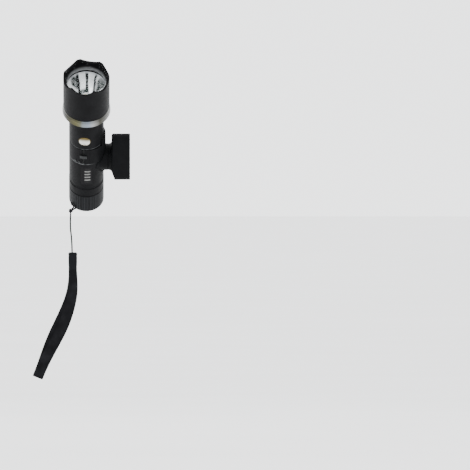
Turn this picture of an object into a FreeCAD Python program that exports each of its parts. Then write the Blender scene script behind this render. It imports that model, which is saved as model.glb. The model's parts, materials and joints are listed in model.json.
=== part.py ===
import FreeCAD, Part
import math
import os

# Firefighter's helmet flashlight: a side-switch torch held by a band clamp on a swivel bracket.
#
# Part frame: the origin is the centre of the bracket's back face, on the swivel axis. +X points out
# of the back face to the helmet, +Y to the wearer's rear and +Z up. The torch is modelled upright on
# its own axis, with heights counted as stations from the tail end, then leaned forward into place.

vec = FreeCAD.Vector

# ---- driving dimensions, mm and degrees ----
LEAN = 50.0               # beam axis, measured from straight up towards the front
LIGHT_X = -34.0           # torch axis, in front of the bracket's back face
PIVOT_STATION = 51.0      # station where the swivel axis crosses the torch axis

BODY_R = 13.5             # outside of tube, clamp band and switch housing
TAIL_R = 13.6             # tail cap and the tube's lowest ring
HEAD_R = 18.0
COLLAR_R = 18.75          # lower edge of the trim ring, the widest point
LENGTH = 148.8
FIT = 0.05                # radial running clearance
GAP = 0.1                 # clearance between faces that pass each other
SEAM = 0.2                # visible gap between two turned parts
CHAMFER = 0.4

# stations along the torch
CAP_FLOOR = 4.0
CAP_TOP = 18.2
TUBE_END = 8.0
TUBE_GROOVE = 27.0
LABEL_LOW, LABEL_HIGH = 33.0, 53.5
LABEL_WIDTH, LABEL_THICK, LABEL_CORNER = 9.2, 0.4, 1.2
SEAT_LOW, SEAT_HIGH = 57.6, 74.6
TUBE_TOP = 79.4
BUTTON_STATION = 85.0
SINK_LOW, SINK_STEP = 93.0, 104.0
TAPER_LOW = 103.8
COLLAR_LOW = 107.8
HEAD_LOW = 114.4
BOARD_STATION = 121.4     # top of the heat sink, under the emitter board
REFLECTOR_TOP = 134.8
LENS_LOW, LENS_TOP = 135.4, 137.4
LIP_LOW, LIP_TOP = 137.5, 138.5

# radii inside the torch
CELL_R = 9.25
TUBE_BORE = 9.7
CAP_BORE = 11.35
THREAD_R = 11.2
TUBE_THREAD_R = 11.0      # tube's upper thread, inside the switch housing
SEAT_R = 12.1
SWITCH_CAVITY_R = 10.4
SINK_LOW_R, SINK_HIGH_R = 11.4, 13.4
COLLAR_BORE = 17.0
HEAD_THREAD_R = 15.4
HEAD_BORE = 16.6
LENS_OPENING_R = 14.95
CROWN_R = 16.9            # inside of the crown's top edge
FOCAL_LENGTH = 5.06
REFLECTOR_HOLE_R = 3.8
REFLECTOR_RIM_R = 15.6
MIRROR_WALL = 1.0
RING_GROOVE_DEPTH, RING_GROOVE_WIDTH = 0.9, 1.4        # seats of the rubber O-rings

# lens, gasket and emitter
LENS_R = 16.4
GASKET_IN, GASKET_OUT = 15.5, 16.45
EMITTER_BOARD_R, EMITTER_BOARD_THICK = 10.0, 1.6
BOARD_NOTCH_R = 1.8
EMITTER_HALF, EMITTER_THICK, DOME_R = 1.75, 0.8, 1.5
SPACER_R, SPACER_THICK = 6.5, 0.45
LEAD_R, LEAD_HOLE_R = 0.6, 1.1
LEAD_X, LEAD_Y = 2.2, 6.5

# crown of the head
SCALLOPS = 6
SCALLOP_DEPTH = 4.0
SCALLOP_HALF_WIDTH = 8.1
SCALLOP_START = 10.0      # first scallop's middle, degrees from the rear towards +X

# driver and side switch; depths are distances from the torch axis
BUTTON_ANGLE = -6.0       # where the button sits, degrees from the front towards +X
DRIVER_LOW, DRIVER_TOP = 80.6, 82.2
DRIVER_FLAT = 5.6
SWITCH_HOLE_R = 4.85
BUTTON_R = 4.3
BUTTON_TRAVEL = 0.8
BUTTON_TOP = 14.1
BUTTON_LOW = 12.1
BUTTON_DOME_R = 22.0
BUTTON_ROUND = 0.35
STEM_R, STEM_END = 1.6, 10.4
BOOT_LOW, BOOT_TOP = 10.6, 11.2
RING_PROUD = 0.15
SWITCH_HALF, SWITCH_BACK, SWITCH_FRONT = 3.0, 7.0, 9.5
PLUNGER_R, PLUNGER_LOW = 1.2, 8.6
RECESS_FLOOR = 7.7
SWITCH_BOARD_BACK, SWITCH_BOARD_HALF_X, SWITCH_BOARD_HALF_Z = 6.0, 4.0, 4.2

# cell and the parts in the tail
CELL_LOW, CELL_TOP = 10.2, 75.2
CELL_EDGE = 0.5
CELL_BUTTON_R, CELL_BUTTON_TOP_R, CELL_BUTTON_THICK = 3.9, 3.7, 1.5
BOARD_R = 10.6
BOARD_THICK = 1.2
BOARD_SEAT = 1.4          # height of the tail board's pocket, up to the retaining ring
RETAINER_IN, RETAINER_THICK, RETAINER_NOTCH = 8.0, 1.2, 0.6
TAIL_SPRING = (6.0, 4.0, 0.9)          # radius at the bottom and top, and wire thickness
DRIVER_SPRING = (3.4, 2.6, 0.6)
SPRING_TURNS = 3

# clamp
LINER_R, BAND_R = 12.6, 13.5
SADDLE_IN = 13.6
SADDLE_PROUD = 1.5        # greatest height of the saddle above the band, at the swivel
SADDLE_REACH = 78.0       # half angle that the saddle covers, about the swivel side
TAB_TOP, TAB_REACH = 79.8, 34.0
FLANGE_R = 11.6
BAND_SPLIT = -10.0        # where the band's ends meet, degrees from the front
SPLIT_WIDTH = 1.2
CATCH_STATION = 66.4
CATCH_WIDTH, CATCH_HEIGHT, CATCH_PROUD = 5.6, 3.2, 0.8
RIVET_ANGLES = (-39.0, -24.0)
RIVET_R, RIVET_PROUD = 0.8, 0.35
RIVET_STATION = 59.4

# swivel, on the X axis
NECK_R = 10.4
NECK_END_X = -17.2
WASHER_THICK = 0.4
WASHER_STEP = 0.3         # how far the washer's rim is inside the neck's
BOLT_R = 3.0
BOLT_HEAD_R, BOLT_HEAD_THICK = 6.0, 1.9
BOLT_HEAD_X = -20.3
BOLT_END_X = -5.8
SPRING_WASHER_THICK, SPRING_WASHER_REACH, SPRING_WASHER_CONE = 1.0, 1.6, 1.0
NUT_FLATS, NUT_THICK = 10.0, 4.0

# bracket
BLOCK_X = -14.4
BLOCK_Y, BLOCK_Z = 16.0, 18.0
BLOCK_CORNER = 5.0
FACE_CHAMFER = 1.0
LOWER_CUT_DEPTH, LOWER_CUT_HEIGHT = 2.4, 6.4      # sloping cut along the block's lower front edge
BOSS_FILLET = 2.0
PLATE_THICK = 3.0
WALL = 2.2
PILLAR_R = 5.2
SCREW_Y, SCREW_Z = 11.5, 13.5
SCREW_HOLE_R = 2.2
SCREW_HEAD_R = 3.9
SCREW_HEAD_DEPTH = 5.0
PLATE_SCREW_Y = 11.0
PLATE_SCREW_R, PLATE_SCREW_HEAD_R = 1.2, 2.3
PLATE_SCREW_HEAD_X = -1.6
PLATE_SCREW_LENGTH = 8.0

# lanyard
CORD_D = 1.3
HOLE_ANGLES = (-58.0, -39.0)
HOLE_R = 1.0
LOOP_OUT_R, LOOP_OUT_STATION = 14.9, 3.7
LOOP_IN_R, LOOP_IN_STATION = 9.6, -1.2
KNOT = vec(-46.3, 35.0, -42.4)
KNOT_R = 1.5
KNOT_GAP = 0.15           # between the knot and the loop's two ends
SLEEVE_TOP, SLEEVE_BOTTOM = -74.9, -88.9
SLEEVE_X, SLEEVE_HALF_X, SLEEVE_HALF_Y, SLEEVE_CORNER = -44.7, 3.25, 2.3, 1.6
STRAP_WIDTH, STRAP_THICK = 10.0, 5.0
# points of the hanging cord and of the strap, (x, z) in the plane of the knot
CORD_ROUTE = [(-46.3, KNOT.z - KNOT_R), (-46.9, -54.0), (-45.4, -64.6), (-45.2, SLEEVE_TOP)]
STRAP_ROUTE = [(-44.7, SLEEVE_BOTTOM), (-44.2, -100.5), (-46.8, -114.0), (-52.4, -129.0),
               (-59.8, -144.0), (-66.2, -158.0), (-71.6, -171.5)]


# ---- general helpers ----
def turned(profile):
    """Solid of revolution about the Z axis from (radius, height) corners."""
    corners = [vec(radius, 0, height) for radius, height in profile]
    face = Part.Face(Part.makePolygon(corners + corners[:1]))
    return face.revolve(vec(0, 0, 0), vec(0, 0, 1), 360)


def tube(inner, outer, low, high):
    ring = Part.makeCylinder(outer, high - low, vec(0, 0, low))
    return ring.cut(Part.makeCylinder(inner, high - low, vec(0, 0, low)))


def disc(radius, low, high):
    return Part.makeCylinder(radius, high - low, vec(0, 0, low))


def box(x_low, x_high, y_low, y_high, z_low, z_high):
    return Part.makeBox(x_high - x_low, y_high - y_low, z_high - z_low, vec(x_low, y_low, z_low))


def rod_x(radius, x_low, x_high, y=0.0, z=0.0):
    return Part.makeCylinder(radius, x_high - x_low, vec(x_low, y, z), vec(1, 0, 0))


def rounded_block(x_low, x_high, half_y, half_z, corner):
    block = box(x_low, x_high, -half_y, half_y, -half_z, half_z)
    long_edges = [edge for edge in block.Edges if abs(edge.tangentAt(0).x) > 0.9]
    return block.makeFillet(corner, long_edges)


def edges_at_x(shape, x):
    return [edge for edge in shape.Edges
            if abs(edge.BoundBox.XMin - x) < 1e-4 and abs(edge.BoundBox.XMax - x) < 1e-4]


def merged(shapes):
    """One solid from touching shapes."""
    whole = shapes[0].fuse(shapes[1:])
    return whole.removeSplitter()


# ---- from the torch's own axis into the part frame ----
def lean_forward(shape):
    upright = FreeCAD.Placement(vec(0, 0, -PIVOT_STATION), FreeCAD.Rotation())
    lean = FreeCAD.Placement(vec(LIGHT_X, 0, 0), FreeCAD.Rotation(vec(1, 0, 0), LEAN))
    placed = shape.copy()
    placed.Placement = lean.multiply(upright).multiply(placed.Placement)
    return placed


def around(angle, radius):
    """Point on the torch's side, angle counted from the front towards +X."""
    return radius * math.sin(math.radians(angle)), -radius * math.cos(math.radians(angle))


def side_cylinder(radius, inner, outer):
    """Cylinder square to the torch axis at the button, between two depths from the axis."""
    return Part.makeCylinder(radius, outer - inner, vec(0, -inner, BUTTON_STATION), vec(0, -1, 0))


def at_button(shape):
    """Turn a switch part, built facing the front, to the button's side; then lean it."""
    turned_shape = shape.copy()
    turned_shape.rotate(vec(0, 0, 0), vec(0, 0, 1), BUTTON_ANGLE)
    return lean_forward(turned_shape)


# ---- cord tubes: straight runs joined by tangent arcs ----
def cord_tube(name, points, diameter):
    """Round tube along a route; every arc is as large as its two runs allow."""
    edges = []
    start = points[0]
    for before, corner, after in zip(points, points[1:], points[2:]):
        come, leave = corner - before, after - corner
        half_turn = come.getAngle(leave) / 2
        reach = 0.45 * min(come.Length, leave.Length)
        print(name, "arc radius", round(reach / math.tan(half_turn), 1))
        come.normalize()
        leave.normalize()
        enter, depart = corner - come * reach, corner + leave * reach
        centre_line = leave - come
        centre_line.normalize()
        radius = reach / math.tan(half_turn)
        middle = corner + centre_line * (radius / math.cos(half_turn) - radius)
        edges += [Part.LineSegment(start, enter).toShape(), Part.Arc(enter, middle, depart).toShape()]
        start = depart
    edges.append(Part.LineSegment(start, points[-1]).toShape())
    path = Part.Wire(edges)
    first_run = points[1] - points[0]
    section = Part.Wire(Part.makeCircle(diameter / 2, points[0], first_run))
    solid = path.makePipeShell([section], True, False)
    straight = math.pi * diameter ** 2 / 4 * path.Length
    print(name, "length", round(path.Length, 2), "volume over section x length",
          round(solid.Volume / straight, 4))
    return solid


# ---- bracket, fixed to the helmet ----
def screw_axes():
    return [(y, z) for y in (-SCREW_Y, SCREW_Y) for z in (-SCREW_Z, SCREW_Z)]


def bracket_housing():
    """Moulded block, open at the back, with a round boss for the swivel."""
    block = rounded_block(BLOCK_X, -PLATE_THICK, BLOCK_Y, BLOCK_Z, BLOCK_CORNER)
    block = block.makeChamfer(FACE_CHAMFER, edges_at_x(block, BLOCK_X))
    slope = Part.makePolygon([vec(BLOCK_X, -BLOCK_Y, LOWER_CUT_HEIGHT - BLOCK_Z),
                              vec(BLOCK_X, -BLOCK_Y, -BLOCK_Z),
                              vec(BLOCK_X + LOWER_CUT_DEPTH, -BLOCK_Y, -BLOCK_Z),
                              vec(BLOCK_X, -BLOCK_Y, LOWER_CUT_HEIGHT - BLOCK_Z)])
    block = block.cut(Part.Face(slope).extrude(vec(0, 2 * BLOCK_Y, 0)))
    boss_end = NECK_END_X + WASHER_THICK
    block = merged([block, rod_x(NECK_R, boss_end, BLOCK_X + 1)])
    root_edges = [edge for edge in edges_at_x(block, BLOCK_X)
                  if abs(edge.BoundBox.ZLength - 2 * NECK_R) < 0.01]
    block = block.makeFillet(BOSS_FILLET, root_edges)
    hollow = rounded_block(BLOCK_X + WALL, -PLATE_THICK, BLOCK_Y - WALL, BLOCK_Z - WALL,
                           BLOCK_CORNER - WALL)
    for y, z in screw_axes():
        hollow = hollow.cut(rod_x(PILLAR_R, BLOCK_X, 0, y, z))
    for y in (-PLATE_SCREW_Y, PLATE_SCREW_Y):
        hollow = hollow.cut(rod_x(PLATE_SCREW_HEAD_R, BLOCK_X, 0, y))
    block = block.cut(hollow)
    for y, z in screw_axes():
        block = block.cut(rod_x(SCREW_HOLE_R, BLOCK_X - 1, 0, y, z))
        block = block.cut(rod_x(SCREW_HEAD_R, BLOCK_X - 1, BLOCK_X + SCREW_HEAD_DEPTH, y, z))
    for y in (-PLATE_SCREW_Y, PLATE_SCREW_Y):
        block = block.cut(rod_x(PLATE_SCREW_R, -PLATE_SCREW_LENGTH, 0, y))
    return block.cut(rod_x(BOLT_R + FIT, boss_end - 1, 0))


def bracket_plate():
    """Flat back plate that closes the housing and rests on the helmet."""
    plate = rounded_block(-PLATE_THICK, 0, BLOCK_Y, BLOCK_Z, BLOCK_CORNER)
    plate = plate.makeChamfer(CHAMFER, edges_at_x(plate, 0))
    for y, z in screw_axes():
        plate = plate.cut(rod_x(SCREW_HOLE_R, -PLATE_THICK, 0, y, z))
    return plate.cut(plate_screws())


def plate_screws():
    """Two countersunk screws that hold the plate to the housing."""
    screws = []
    for y in (-PLATE_SCREW_Y, PLATE_SCREW_Y):
        head = Part.makeCone(PLATE_SCREW_R, PLATE_SCREW_HEAD_R, -PLATE_SCREW_HEAD_X - 2 * GAP,
                             vec(PLATE_SCREW_HEAD_X, y, 0), vec(1, 0, 0))
        screws.append(merged([head, rod_x(PLATE_SCREW_R, -PLATE_SCREW_LENGTH, PLATE_SCREW_HEAD_X, y)]))
    return Part.makeCompound(screws)


def hexagon(across_flats, x_low, x_high):
    radius = across_flats / math.sqrt(3)
    corners = [vec(x_low, radius * math.cos(math.radians(60 * step)),
                   radius * math.sin(math.radians(60 * step))) for step in range(7)]
    return Part.Face(Part.makePolygon(corners)).extrude(vec(x_high - x_low, 0, 0))


# ---- swivel, on the X axis ----
def friction_washer():
    washer = rod_x(NECK_R - WASHER_STEP, NECK_END_X, NECK_END_X + WASHER_THICK)
    return washer.cut(rod_x(BOLT_R + FIT, NECK_END_X, 0))


def swivel_bolt():
    head_end = BOLT_HEAD_X + BOLT_HEAD_THICK
    head = rod_x(BOLT_HEAD_R, BOLT_HEAD_X, head_end)
    bolt = merged([head, rod_x(BOLT_R, head_end, BOLT_END_X)])
    return bolt.makeChamfer(CHAMFER, edges_at_x(bolt, BOLT_END_X))


def spring_washer():
    """Slightly coned washer that keeps the swivel stiff."""
    low = BLOCK_X + WALL
    top_r = BOLT_R + SPRING_WASHER_REACH
    washer = Part.makeCone(top_r + SPRING_WASHER_CONE, top_r, SPRING_WASHER_THICK, vec(low, 0, 0),
                           vec(1, 0, 0))
    return washer.cut(rod_x(BOLT_R, low, 0))


def swivel_nut():
    low = BLOCK_X + WALL + SPRING_WASHER_THICK
    nut = hexagon(NUT_FLATS, low, low + NUT_THICK)
    rounded = Part.makeCone(NUT_FLATS * 0.66, NUT_FLATS * 0.54, NUT_THICK, vec(low, 0, 0), vec(1, 0, 0))
    return nut.common(rounded).cut(rod_x(BOLT_R, low, 0))


# ---- clamp, turns on the swivel and holds the torch ----

def wedge(middle, half_width, low, high, radius=40.0):
    """Pie slice about the torch axis, angles from the front towards +X."""
    steps = [middle - half_width + half_width * step / 2 for step in range(5)]
    corners = [vec(0, 0, low)] + [vec(*around(angle, radius), low) for angle in steps]
    return Part.Face(Part.makePolygon(corners + corners[:1])).extrude(vec(0, 0, high - low))


def saddle_skin(inner, low, high):
    """Crescent that is thickest on the helmet side and fades out at the front and rear."""
    skin = Part.makeCylinder(BAND_R, high - low, vec(SADDLE_PROUD, 0, low))
    return skin.cut(disc(inner, low, high))


def clamp_cradle():
    """Saddle on the torch's helmet side, with the swivel neck."""
    low, high = SEAT_LOW + GAP, SEAT_HIGH - GAP
    collar = saddle_skin(BAND_R, low, high).common(wedge(90, SADDLE_REACH, low, high))
    tab = saddle_skin(SADDLE_IN, high, TAB_TOP).common(wedge(90, TAB_REACH, high, TAB_TOP))
    flange_low, flange_high = PIVOT_STATION - FLANGE_R, SEAT_LOW + GAP
    flange = saddle_skin(SADDLE_IN, flange_low, flange_high)
    flange = flange.common(rod_x(FLANGE_R, 0, 2 * BODY_R, 0, PIVOT_STATION))
    saddle = merged([collar, tab, flange])
    hub_room = disc(SADDLE_IN, 0, low).fuse(disc(BAND_R, low, high)).fuse(disc(SADDLE_IN, high, LENGTH))
    neck = rod_x(NECK_R, LIGHT_X + BODY_R / 2, NECK_END_X).cut(lean_forward(hub_room))
    cradle = merged([lean_forward(saddle), neck])
    head_end = BOLT_HEAD_X + BOLT_HEAD_THICK
    cradle = cradle.cut(rod_x(BOLT_HEAD_R, LIGHT_X, head_end))
    cradle = cradle.cut(rod_x(BOLT_R, LIGHT_X, NECK_END_X))
    return cradle.makeChamfer(CHAMFER / 2, [edge for edge in edges_at_x(cradle, NECK_END_X)
                                            if edge.BoundBox.ZLength > NECK_R])


def clamp_band():
    """Split ring in the tube's seat, flush with the tube."""
    band = tube(LINER_R, BAND_R, SEAT_LOW + GAP, SEAT_HIGH - GAP)
    split = box(-SPLIT_WIDTH / 2, SPLIT_WIDTH / 2, -2 * BODY_R, 0, SEAT_LOW, SEAT_HIGH)
    split.rotate(vec(0, 0, 0), vec(0, 0, 1), BAND_SPLIT)
    return lean_forward(band.cut(split).cut(rivet_shanks()))


def clamp_liner():
    """Thin rubber strip between the band and the tube."""
    return lean_forward(tube(SEAT_R + GAP, LINER_R, SEAT_LOW + 2 * GAP, SEAT_HIGH - 2 * GAP))


def band_catch():
    """Small metal clasp that joins the band's ends."""
    clasp = tube(BAND_R, BAND_R + CATCH_PROUD, CATCH_STATION - CATCH_HEIGHT / 2,
                 CATCH_STATION + CATCH_HEIGHT / 2)
    window = box(-CATCH_WIDTH / 2, CATCH_WIDTH / 2, -2 * BODY_R, 0, SEAT_LOW, SEAT_HIGH)
    window.rotate(vec(0, 0, 0), vec(0, 0, 1), BAND_SPLIT)
    return lean_forward(clasp.common(window))


def rivet_shanks():
    shanks = []
    for angle in RIVET_ANGLES:
        x, y = around(angle, 1)
        base = vec(x * SEAT_R, y * SEAT_R, RIVET_STATION)
        shanks.append(Part.makeCylinder(RIVET_R, BAND_R + RIVET_PROUD - SEAT_R, base, vec(x, y, 0)))
    return Part.makeCompound(shanks)


def band_rivets():
    """Two rivets at the band's lower edge."""
    return lean_forward(rivet_shanks().cut(disc(LINER_R, 0, LENGTH)))


# ---- torch body ----
def groove(profile, radius, station, width, depth):
    """Add a small V groove to a profile that runs up an outside wall."""
    profile += [(radius, station - width / 2), (radius - depth, station), (radius, station + width / 2)]


def battery_tube():
    shoulder = CAP_TOP + SEAM
    seal_low, seal_high = shoulder - 2 * RING_GROOVE_WIDTH, shoulder - RING_GROOVE_WIDTH
    upper_low, upper_high = SEAT_HIGH + 0.8, SEAT_HIGH + 0.8 + RING_GROOVE_WIDTH
    outer = [(TUBE_BORE, TUBE_END), (THREAD_R - CHAMFER, TUBE_END), (THREAD_R, TUBE_END + CHAMFER),
             (THREAD_R, seal_low), (THREAD_R - RING_GROOVE_DEPTH, seal_low),
             (THREAD_R - RING_GROOVE_DEPTH, seal_high), (THREAD_R, seal_high),
             (THREAD_R, shoulder), (TAIL_R - CHAMFER, shoulder), (TAIL_R, shoulder + CHAMFER)]
    groove(outer, TAIL_R, TUBE_GROOVE, 1.5, 0.55)
    outer += [(TAIL_R, TUBE_GROOVE + 1.2), (BODY_R, TUBE_GROOVE + 2.0),
              (BODY_R, SEAT_LOW - SEAM), (BODY_R - SEAM, SEAT_LOW), (SEAT_R, SEAT_LOW),
              (SEAT_R, SEAT_HIGH), (TUBE_THREAD_R, SEAT_HIGH), (TUBE_THREAD_R, upper_low),
              (TUBE_THREAD_R - RING_GROOVE_DEPTH + SEAM, upper_low),
              (TUBE_THREAD_R - RING_GROOVE_DEPTH + SEAM, upper_high), (TUBE_THREAD_R, upper_high),
              (TUBE_THREAD_R, TUBE_TOP - CHAMFER), (TUBE_THREAD_R - CHAMFER, TUBE_TOP),
              (TUBE_BORE, TUBE_TOP)]
    pocket = label_shape(FIT)
    return lean_forward(turned(outer).cut(pocket))


def label_shape(margin):
    half = LABEL_WIDTH / 2 + margin
    low, high = LABEL_LOW - margin, LABEL_HIGH + margin
    window = box(-half, half, -2 * BODY_R, 0, low, high)
    corners = [edge for edge in window.Edges if abs(edge.tangentAt(0).y) > 0.9]
    window = window.makeFillet(LABEL_CORNER, corners)
    return tube(BODY_R - LABEL_THICK - margin, BODY_R, low, high).common(window)


def label_plate():
    return lean_forward(label_shape(0))


def switch_housing():
    """Neck of the head: side switch below, threaded spigot for the head above."""
    low, cavity_low = SEAT_HIGH + SEAM, TUBE_TOP + SEAM
    spigot_top = BOARD_STATION - 1.5
    wall = [(TUBE_THREAD_R + FIT, low), (BODY_R - CHAMFER, low), (BODY_R, low + CHAMFER),
            (BODY_R, TAPER_LOW), (COLLAR_R - 0.35, COLLAR_LOW), (COLLAR_BORE, COLLAR_LOW),
            (COLLAR_BORE, HEAD_LOW - SEAM), (HEAD_THREAD_R, HEAD_LOW - SEAM),
            (HEAD_THREAD_R, HEAD_LOW + CHAMFER), (HEAD_THREAD_R - RING_GROOVE_DEPTH, HEAD_LOW + CHAMFER),
            (HEAD_THREAD_R - RING_GROOVE_DEPTH, HEAD_LOW + CHAMFER + RING_GROOVE_WIDTH),
            (HEAD_THREAD_R, HEAD_LOW + CHAMFER + RING_GROOVE_WIDTH),
            (HEAD_THREAD_R, spigot_top - CHAMFER), (HEAD_THREAD_R - CHAMFER, spigot_top),
            (SINK_HIGH_R, spigot_top), (SINK_HIGH_R, SINK_STEP), (SINK_LOW_R, SINK_STEP),
            (SINK_LOW_R, SINK_LOW), (SWITCH_CAVITY_R, SINK_LOW), (SWITCH_CAVITY_R, cavity_low),
            (TUBE_THREAD_R + FIT, cavity_low)]
    hole = side_cylinder(SWITCH_HOLE_R, SWITCH_CAVITY_R / 2, 2 * BODY_R)
    hole.rotate(vec(0, 0, 0), vec(0, 0, 1), BUTTON_ANGLE)
    return lean_forward(turned(wall).cut(hole))


def trim_ring():
    """Bright tapered ring between the switch housing and the head, with a fine V groove near its top."""
    top = HEAD_LOW - 0.3
    profile = [(COLLAR_BORE + FIT, COLLAR_LOW), (COLLAR_R - 0.35, COLLAR_LOW),
               (COLLAR_R, COLLAR_LOW + 0.4), (COLLAR_R - 0.35, top - 2.6), (COLLAR_R - 0.75, top - 2.35),
               (COLLAR_R - 0.5, top - 2.1), (HEAD_R, top), (COLLAR_BORE + FIT, top)]
    return lean_forward(turned(profile))


# ---- head ----
def head_bezel():
    """Head barrel with the scalloped crown and the lens lip."""
    wall = [(HEAD_THREAD_R + FIT, HEAD_LOW), (HEAD_R - 0.25, HEAD_LOW), (HEAD_R, HEAD_LOW + 0.3),
            (HEAD_R, LENGTH - 0.8), (HEAD_R - 0.6, LENGTH), (CROWN_R, LENGTH), (LENS_OPENING_R, LIP_TOP),
            (LENS_OPENING_R, LIP_LOW), (HEAD_BORE, LIP_LOW), (HEAD_BORE, BOARD_STATION),
            (HEAD_THREAD_R + FIT, BOARD_STATION)]
    bezel = turned(wall)
    radius = (SCALLOP_HALF_WIDTH ** 2 + SCALLOP_DEPTH ** 2) / (2 * SCALLOP_DEPTH)
    centre = LENGTH - SCALLOP_DEPTH + radius
    for step in range(SCALLOPS):
        angle = math.radians(SCALLOP_START + step * 360 / SCALLOPS)
        outward = vec(math.sin(angle), math.cos(angle), 0)
        bezel = bezel.cut(Part.makeCylinder(radius, 2 * HEAD_R, vec(0, 0, centre), outward))
    return lean_forward(bezel)


def reflector():
    """Parabolic mirror; its wall follows the mirror one thickness outside."""
    wall = MIRROR_WALL - FIT
    hole_r, rim_r = REFLECTOR_HOLE_R, REFLECTOR_RIM_R
    vertex = REFLECTOR_TOP - rim_r ** 2 / (4 * FOCAL_LENGTH)

    def height(radius):
        return vertex + radius ** 2 / (4 * FOCAL_LENGTH)

    def curve(offset):
        radii = [hole_r + (rim_r - hole_r) * step / 6 for step in range(7)]
        spline = Part.BSplineCurve()
        spline.interpolate([vec(radius + offset, 0, height(radius)) for radius in radii])
        return spline.toShape()

    low = height(hole_r)
    bottom = Part.LineSegment(vec(hole_r, 0, low), vec(hole_r + wall, 0, low)).toShape()
    top = Part.LineSegment(vec(rim_r, 0, REFLECTOR_TOP), vec(rim_r + wall, 0, REFLECTOR_TOP)).toShape()
    face = Part.Face(Part.Wire(Part.__sortEdges__([curve(0), top, curve(wall), bottom])))
    return lean_forward(face.revolve(vec(0, 0, 0), vec(0, 0, 1), 360))


def rounded_disc(radius, low, high, edge):
    """Disc with small chamfers at both rims."""
    return turned([(0, low), (radius - edge, low), (radius, low + edge), (radius, high - edge),
                   (radius - edge, high), (0, high)])


def lens():
    return lean_forward(rounded_disc(LENS_R, LENS_LOW, LENS_TOP, 0.3))


def lens_gasket():
    return lean_forward(tube(GASKET_IN, GASKET_OUT, REFLECTOR_TOP + GAP / 2, LENS_LOW - GAP / 2))


def emitter_board():
    """Aluminium-core board with three cut-outs for the leads and screws."""
    board = disc(EMITTER_BOARD_R, BOARD_STATION, BOARD_STATION + EMITTER_BOARD_THICK)
    for step in range(3):
        x, y = around(120 * step + 60, EMITTER_BOARD_R)
        board = board.cut(Part.makeCylinder(BOARD_NOTCH_R, EMITTER_BOARD_THICK, vec(x, y, BOARD_STATION)))
    return lean_forward(board)


def emitter():
    """LED package: square base with a domed silicone lens."""
    low = BOARD_STATION + EMITTER_BOARD_THICK
    half, top = EMITTER_HALF, low + EMITTER_THICK
    dome = Part.makeSphere(DOME_R, vec(0, 0, top)).common(disc(DOME_R + 1, top, top + DOME_R))
    return lean_forward(merged([box(-half, half, -half, half, low, top), dome]))


def centring_ring():
    """White spacer that keeps the emitter in the middle of the mirror."""
    low = BOARD_STATION + EMITTER_BOARD_THICK
    half = EMITTER_HALF + SEAM
    spacer = disc(SPACER_R, low, low + SPACER_THICK)
    return lean_forward(spacer.cut(box(-half, half, -half, half, low, low + SPACER_THICK)))


def heat_sink():
    """Stepped aluminium pill that carries the emitter board."""
    low = SINK_LOW + SEAM
    pill = turned([(0, low), (SINK_LOW_R - FIT, low), (SINK_LOW_R - FIT, SINK_STEP),
                   (SINK_HIGH_R - FIT, SINK_STEP), (SINK_HIGH_R - FIT, BOARD_STATION), (0, BOARD_STATION)])
    for x in (-LEAD_X, LEAD_X):
        pill = pill.cut(Part.makeCylinder(LEAD_HOLE_R, BOARD_STATION - low, vec(x, LEAD_Y, low)))
    return lean_forward(pill)


def emitter_leads():
    """Two insulated leads from the driver board up through the heat sink."""
    leads = [Part.makeCylinder(LEAD_R, BOARD_STATION - DRIVER_TOP, vec(x, LEAD_Y, DRIVER_TOP))
             for x in (-LEAD_X, LEAD_X)]
    return lean_forward(Part.makeCompound(leads))


# ---- driver and side switch ----
def driver_board():
    """Round board with three components, and a flat that leaves room for the switch."""
    board = disc(SWITCH_CAVITY_R - FIT, DRIVER_LOW, DRIVER_TOP)
    board = board.cut(box(-20, 20, -20, -DRIVER_FLAT, DRIVER_LOW, DRIVER_TOP))
    parts = [box(1.5, 5.5, -2.5, 2.5, DRIVER_TOP, DRIVER_TOP + 2.2),
             box(-5.5, -1.0, -4.0, 0.5, DRIVER_TOP, DRIVER_TOP + 1.2),
             box(-4.5, -2.5, 2.0, 4.0, DRIVER_TOP, DRIVER_TOP + 0.9)]
    return at_button(merged([board] + parts))


def coil_spring(sizes, low, high):
    """Round-wire coned coil on the torch axis, standing between two stations."""
    radius, top_radius, wire = sizes
    height = high - low - wire
    flare = math.degrees(math.atan((radius - top_radius) / height))
    path = Part.makeHelix(height / SPRING_TURNS, height, radius, -flare)
    section = Part.Wire(Part.makeCircle(wire / 2, vec(radius, 0, 0), vec(0, 1, 0)))
    coil = Part.Wire(path).makePipeShell([section], True, True)
    coil.translate(vec(0, 0, low + wire / 2))
    return coil


def driver_spring():
    """Plus contact: a small coil that presses on the cell's button."""
    return lean_forward(coil_spring(DRIVER_SPRING, CELL_TOP + CELL_BUTTON_THICK, DRIVER_LOW))


def switch_ring():
    """Thin threaded ring that frames the button, trimmed to the housing's curve."""
    ring = side_cylinder(SWITCH_HOLE_R - FIT, BOOT_TOP + GAP, BODY_R + 1)
    ring = ring.cut(side_cylinder(BUTTON_R + GAP, BOOT_TOP, BODY_R + 1))
    return at_button(ring.common(disc(BODY_R + RING_PROUD, 0, LENGTH)))


def switch_boot():
    """Silicone diaphragm under the button."""
    boot = side_cylinder(SWITCH_HOLE_R - FIT, BOOT_LOW, BOOT_TOP)
    return at_button(boot.cut(side_cylinder(STEM_R + 0.3, BOOT_LOW, BOOT_TOP)))


def switch_button():
    """Metal cap with a softly domed face and a short stem."""
    dome = Part.makeSphere(BUTTON_DOME_R, vec(0, BUTTON_DOME_R - BUTTON_TOP, BUTTON_STATION))
    cap = side_cylinder(BUTTON_R, BUTTON_LOW, BUTTON_TOP).common(dome)
    rim = [edge for edge in cap.Edges if edge.BoundBox.YMax < -(BUTTON_LOW + BUTTON_TRAVEL)]
    cap = cap.makeFillet(BUTTON_ROUND, rim)
    return at_button(merged([cap, side_cylinder(STEM_R, STEM_END, BUTTON_LOW + GAP)]))


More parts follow.
